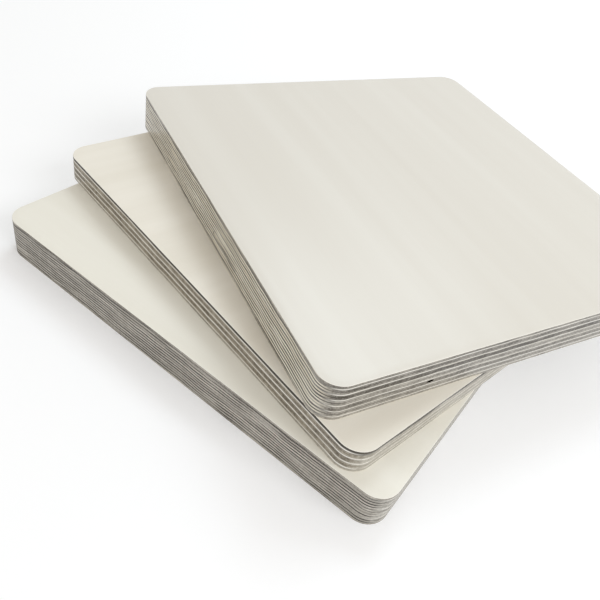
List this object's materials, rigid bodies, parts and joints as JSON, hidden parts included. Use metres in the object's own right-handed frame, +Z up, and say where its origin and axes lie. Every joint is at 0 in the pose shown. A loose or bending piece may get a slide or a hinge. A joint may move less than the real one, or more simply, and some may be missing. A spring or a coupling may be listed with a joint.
{
  "type": "stack of plywood sheets",
  "caption": "Fanned stack of square plywood sheets with rounded corners, bare faces and layered veneer edges, lying flat one on another.",
  "frame": {"origin": "centre of the bottom sheet's underside", "axes": "+X along the bottom sheet's front edge, +Y along its left edge, +Z up through the stack"},
  "size_m": [0.2656, 0.2615, 0.048],
  "materials": {
    "outer_veneer": "sanded, bare",
    "crossband": "sawn edge, bare",
    "core_ply": "sawn edge, bare"
  },
  "bodies": {
    "root": {"bottom_sheet_back_veneer": "outer_veneer", "bottom_sheet_crossband_1": "crossband", "bottom_sheet_core_ply_1": "core_ply", "bottom_sheet_crossband_2": "crossband", "bottom_sheet_core_ply_2": "core_ply", "bottom_sheet_crossband_3": "crossband", "bottom_sheet_core_ply_3": "core_ply", "bottom_sheet_crossband_4": "crossband", "bottom_sheet_core_ply_4": "core_ply", "bottom_sheet_crossband_5": "crossband", "bottom_sheet_core_ply_5": "core_ply", "bottom_sheet_crossband_6": "crossband", "bottom_sheet_face_veneer": "outer_veneer", "middle_sheet_back_veneer": "outer_veneer", "middle_sheet_crossband_1": "crossband", "middle_sheet_core_ply_1": "core_ply", "middle_sheet_crossband_2": "crossband", "middle_sheet_core_ply_2": "core_ply", "middle_sheet_crossband_3": "crossband", "middle_sheet_core_ply_3": "core_ply", "middle_sheet_crossband_4": "crossband", "middle_sheet_face_veneer": "outer_veneer", "top_sheet_back_veneer": "outer_veneer", "top_sheet_crossband_1": "crossband", "top_sheet_core_ply_1": "core_ply", "top_sheet_crossband_2": "crossband", "top_sheet_core_ply_2": "core_ply", "top_sheet_crossband_3": "crossband", "top_sheet_core_ply_3": "core_ply", "top_sheet_crossband_4": "crossband", "top_sheet_core_ply_4": "core_ply", "top_sheet_crossband_5": "crossband", "top_sheet_core_ply_5": "core_ply", "top_sheet_crossband_6": "crossband", "top_sheet_face_veneer": "outer_veneer"}
  },
  "joints": []
}
